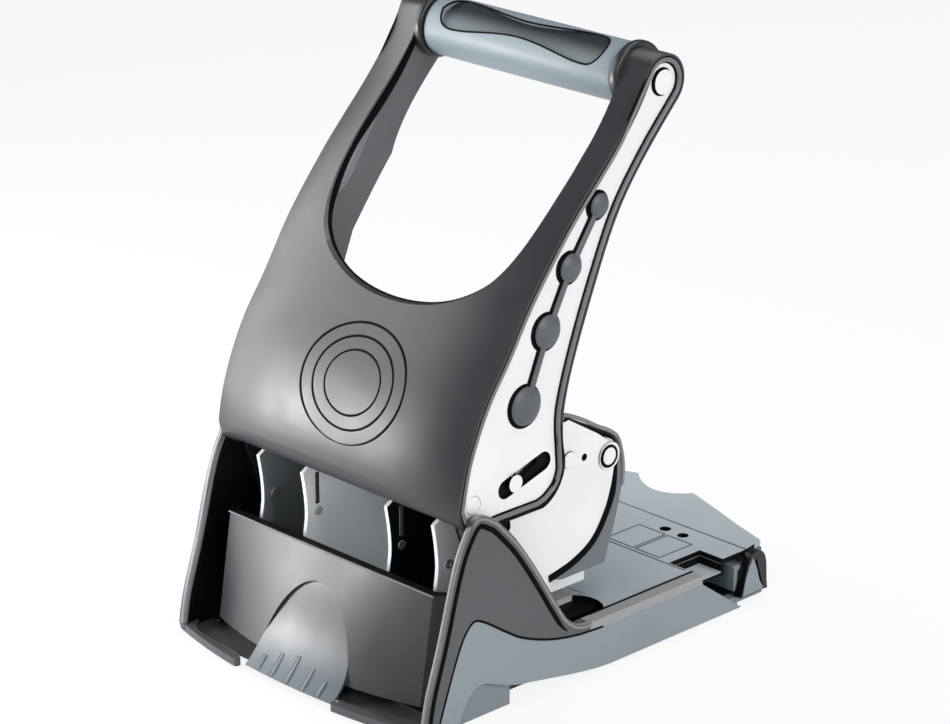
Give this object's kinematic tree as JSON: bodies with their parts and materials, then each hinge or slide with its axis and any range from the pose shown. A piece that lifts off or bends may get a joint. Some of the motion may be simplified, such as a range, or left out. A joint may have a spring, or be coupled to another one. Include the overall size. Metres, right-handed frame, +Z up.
{
  "type": "two-hole lever punch",
  "caption": "Heavy-duty desk paper punch with a tall looped lever, side plates, press arms, spring-returned punches, a chip drawer and a pull-out paper guide.",
  "frame": {"origin": "on the desk, under the middle of the machine's box", "axes": "+X to the operator's right, +Y from the chip drawer to the paper table, +Z up"},
  "size_m": [0.155, 0.234, 0.2646],
  "materials": {
    "steel": "zinc plated sheet and bar",
    "bright_steel": "polished pins and rivets",
    "dark_plastic": "satin dark grey moulding",
    "light_plastic": "satin light blue-grey moulding",
    "grey_plastic": "satin mid-grey moulding",
    "black_plastic": "semi-gloss black moulding",
    "white_aluminium": "fine satin, near white",
    "black_metal": "matt black enamel",
    "rubber": "soft grey rubber"
  },
  "bodies": {
    "base": {"base_plate": "black_metal", "rubber_feet": "rubber", "die_bed": "steel", "die_plate": "steel", "die_ring_left": "steel", "die_ring_right": "steel", "punch_bracket_left": "steel", "punch_bracket_right": "steel", "cheek_rivets": "bright_steel", "bracket_screws": "steel", "punch_guide_left": "steel", "punch_guide_right": "steel", "punch_spring_left": "steel", "punch_spring_right": "steel", "head_plate_left": "white_aluminium", "head_plate_right": "white_aluminium", "head_rivets": "bright_steel", "head_top": "white_aluminium", "rear_cover": "black_plastic", "head_skirt": "grey_plastic", "arm_pivot_pin_left": "bright_steel", "arm_pivot_pin_right": "bright_steel", "arm_pivot_washer_left": "steel", "arm_pivot_washer_right": "steel", "lever_pivot_pin_left": "bright_steel", "lever_pivot_pin_right": "bright_steel", "surround": "dark_plastic", "lower_shell": "light_plastic", "paper_table": "light_plastic", "guide_pocket": "light_plastic"},
    "lever": {"lever_shell": "dark_plastic", "lever_plate_left": "white_aluminium", "lever_plate_right": "white_aluminium", "bead_inlay_left": "rubber", "bead_inlay_right": "rubber", "grip_sleeve": "light_plastic", "grip_inlay": "dark_plastic", "grip_caps": "dark_plastic", "grip_axle": "bright_steel"},
    "press_arms": {"press_arm_left": "steel", "press_arm_right": "steel", "press_bar": "steel", "drive_pin_left": "bright_steel", "drive_pin_right": "bright_steel"},
    "punches": {"punch_bridge": "steel", "punch_pin_left": "steel", "punch_pin_right": "steel"},
    "drawer": {"chip_bin": "black_plastic", "drawer_front": "dark_plastic", "drawer_tongue": "light_plastic"},
    "guide": {"paper_guide": "light_plastic", "guide_head": "black_plastic"}
  },
  "joints": [
    {"name": "lever_swing", "type": "hinge", "parent": "base", "child": "lever", "pos_m": [0, -0.0771, 0.0942], "axis": [-1, 0, 0], "range_deg": [0, 48], "stiffness_Nm_per_rad": 0.9, "springref_deg": -42.97},
    {"name": "arm_swing", "type": "hinge", "parent": "base", "child": "press_arms", "pos_m": [0, 0.0084, 0.0904], "axis": [1, 0, 0], "range_deg": [0, 19.4]},
    {"name": "punch_slide", "type": "slide", "parent": "base", "child": "punches", "axis": [0, 0, -1], "range_m": [0, 0.00794], "deforming": ["punch_spring_left", "punch_spring_right"]},
    {"name": "drawer_slide", "type": "slide", "parent": "base", "child": "drawer", "axis": [0, -1, 0], "range_m": [0, 0.07]},
    {"name": "guide_slide", "type": "slide", "parent": "base", "child": "guide", "axis": [1, 0, 0], "range_m": [0, 0.06]}
  ],
  "couplings": [
    {"joint": "arm_swing", "follows": "lever_swing", "ratio": 0.4},
    {"joint": "punch_slide", "follows": "lever_swing", "m_per_rad": 0.009421}
  ]
}
